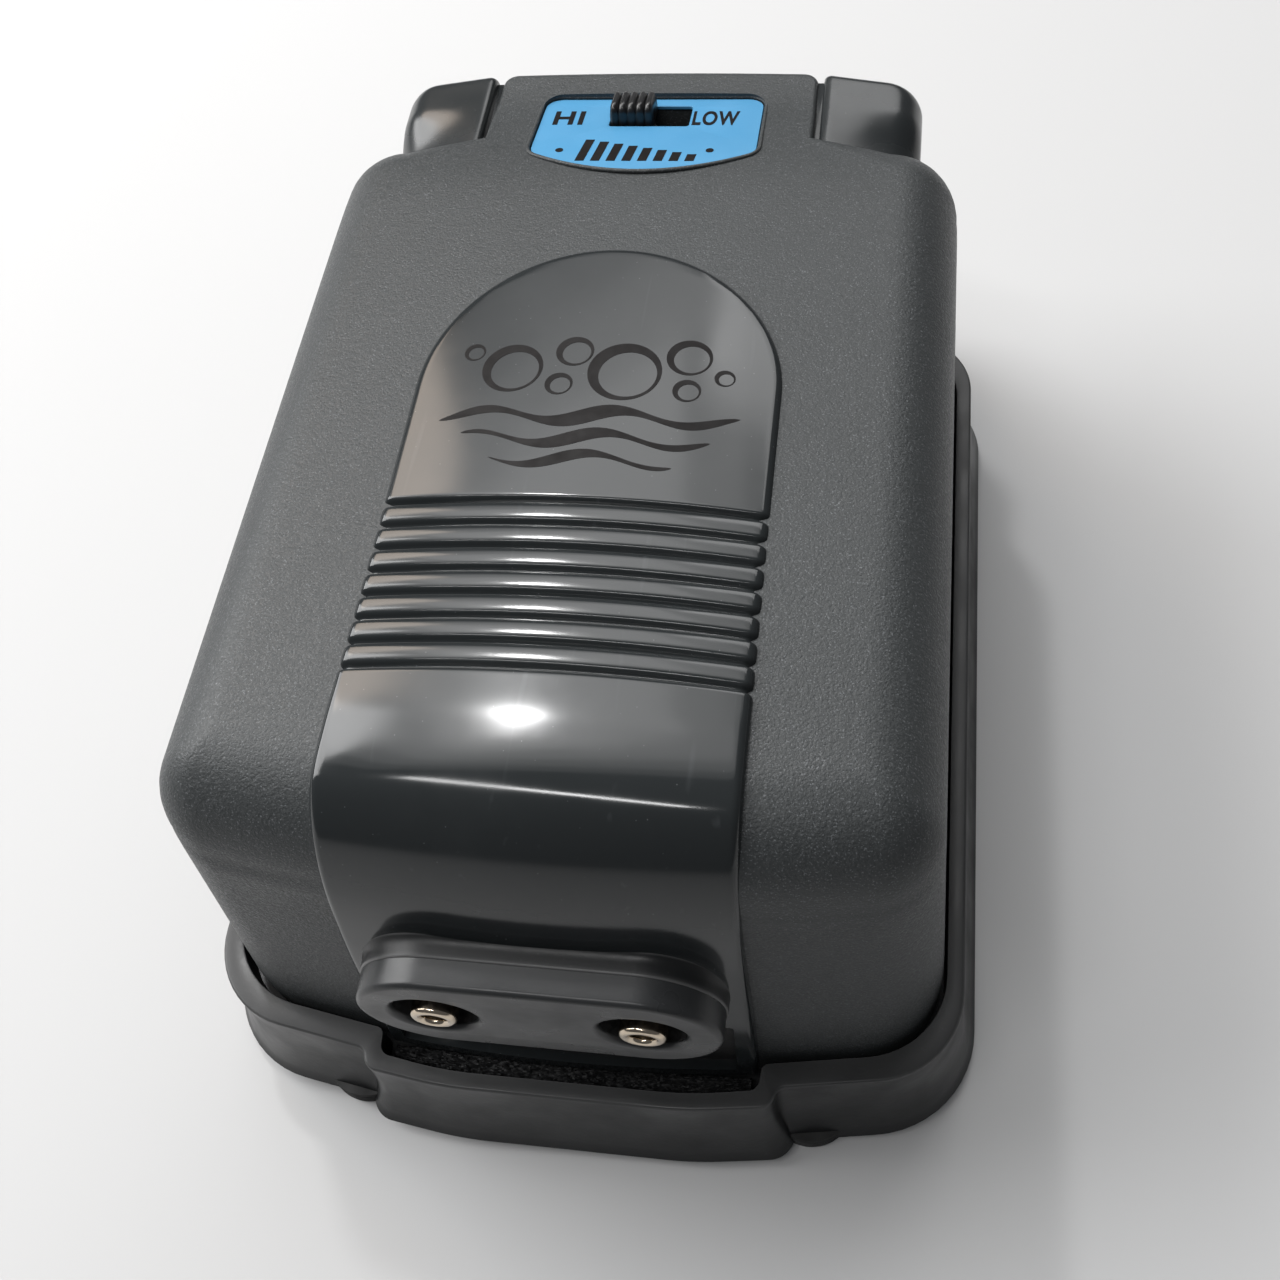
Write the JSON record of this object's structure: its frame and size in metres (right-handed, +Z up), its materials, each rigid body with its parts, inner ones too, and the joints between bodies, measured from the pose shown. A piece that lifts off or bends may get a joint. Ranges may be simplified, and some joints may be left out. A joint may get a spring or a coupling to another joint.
{
  "type": "aquarium air pump",
  "caption": "Desktop aquarium air pump: drafted box housing on a flared tray, glossy centre strip, front outlet block with hose nozzles and a sliding output control.",
  "frame": {"origin": "on the table, under the middle of the pump's box", "axes": "+Z up; -Y is the front with the air outlets; +Y is the rear with the cord gland; +X is to the right seen from the front"},
  "size_m": [0.1124, 0.1624, 0.0754],
  "materials": {
    "shell": "fine spark-eroded texture, charcoal grey",
    "gloss": "polished charcoal grey",
    "tray": "satin near-black",
    "rubber": "matt black",
    "block": "satin dark grey",
    "chrome": "bright",
    "steel": "zinc plated",
    "label": "printed sky blue",
    "knob": "black",
    "copper": "enamelled copper wire",
    "bobbin": "natural nylon",
    "ferrite": "dark sintered magnet",
    "board": "phenolic board",
    "brass": "plain",
    "hose": "milky silicone",
    "felt": "pressed felt"
  },
  "bodies": {
    "housing": {"air_hose_left": "hose", "air_hose_right": "hose", "base_tray": "tray", "case_screw_front_left": "steel", "case_screw_front_right": "steel", "case_screw_rear_left": "steel", "case_screw_rear_right": "steel", "centre_strip": "gloss", "chamber_left": "knob", "chamber_right": "knob", "clamp_ring_left": "knob", "clamp_ring_right": "knob", "coil_bobbin": "bobbin", "coil_winding": "copper", "control_board": "board", "cord_gland": "rubber", "core_frame": "steel", "diaphragm_left": "rubber", "diaphragm_right": "rubber", "diode": "knob", "filter_cover": "tray", "filter_felt": "felt", "foot_front_left": "rubber", "foot_front_right": "rubber", "foot_rear_left": "rubber", "foot_rear_right": "rubber", "frame_screw_left": "steel", "frame_screw_right": "steel", "label_plate": "label", "magnet_core": "steel", "outlet_block": "block", "outlet_nozzle_left": "chrome", "outlet_nozzle_right": "chrome", "pivot_post_left": "steel", "pivot_post_right": "steel", "rear_bumper": "gloss", "switch_body": "knob", "top_cover": "shell", "valve_cover_left": "knob", "valve_cover_right": "knob"},
    "speed_slider": {"speed_knob": "knob", "switch_contact": "brass"},
    "arm_left": {"swing_arm_left": "steel", "arm_magnet_left": "ferrite", "clamp_bolt_left": "steel", "clamp_nut_left": "brass"},
    "inlet_valve_left": {"inlet_flap_left": "rubber"},
    "outlet_valve_left": {"outlet_flap_left": "rubber"},
    "arm_right": {"swing_arm_right": "steel", "arm_magnet_right": "ferrite", "clamp_bolt_right": "steel", "clamp_nut_right": "brass"},
    "inlet_valve_right": {"inlet_flap_right": "rubber"},
    "outlet_valve_right": {"outlet_flap_right": "rubber"}
  },
  "joints": [
    {"name": "speed_slide", "type": "slide", "parent": "housing", "child": "speed_slider", "axis": [1, 0, 0], "range_m": [0, 0.0055]},
    {"name": "arm_swing_left", "type": "hinge", "parent": "housing", "child": "arm_left", "pos_m": [-0.0231, -0.046, 0.03], "axis": [0, 0, 1], "range_deg": [-1.5, 1.5], "stiffness_Nm_per_rad": 0.3, "deforming": ["diaphragm_left"]},
    {"name": "arm_swing_right", "type": "hinge", "parent": "housing", "child": "arm_right", "pos_m": [0.0231, -0.046, 0.03], "axis": [0, 0, 1], "range_deg": [-1.5, 1.5], "stiffness_Nm_per_rad": 0.3, "deforming": ["diaphragm_right"]},
    {"name": "inlet_bend_left", "type": "hinge", "parent": "housing", "child": "inlet_valve_left", "pos_m": [-0.0363, -0.014, 0.04], "axis": [0, -1, 0], "range_deg": [0, 10], "stiffness_Nm_per_rad": 0.0005},
    {"name": "outlet_bend_left", "type": "hinge", "parent": "housing", "child": "outlet_valve_left", "pos_m": [-0.0397, -0.014, 0.028], "axis": [0, 1, 0], "range_deg": [0, 10], "stiffness_Nm_per_rad": 0.0005},
    {"name": "inlet_bend_right", "type": "hinge", "parent": "housing", "child": "inlet_valve_right", "pos_m": [0.0363, -0.014, 0.04], "axis": [0, 1, 0], "range_deg": [0, 10], "stiffness_Nm_per_rad": 0.0005},
    {"name": "outlet_bend_right", "type": "hinge", "parent": "housing", "child": "outlet_valve_right", "pos_m": [0.0397, -0.014, 0.028], "axis": [0, -1, 0], "range_deg": [0, 10], "stiffness_Nm_per_rad": 0.0005}
  ],
  "couplings": [
    {"joint": "arm_swing_right", "follows": "arm_swing_left", "ratio": -1}
  ]
}
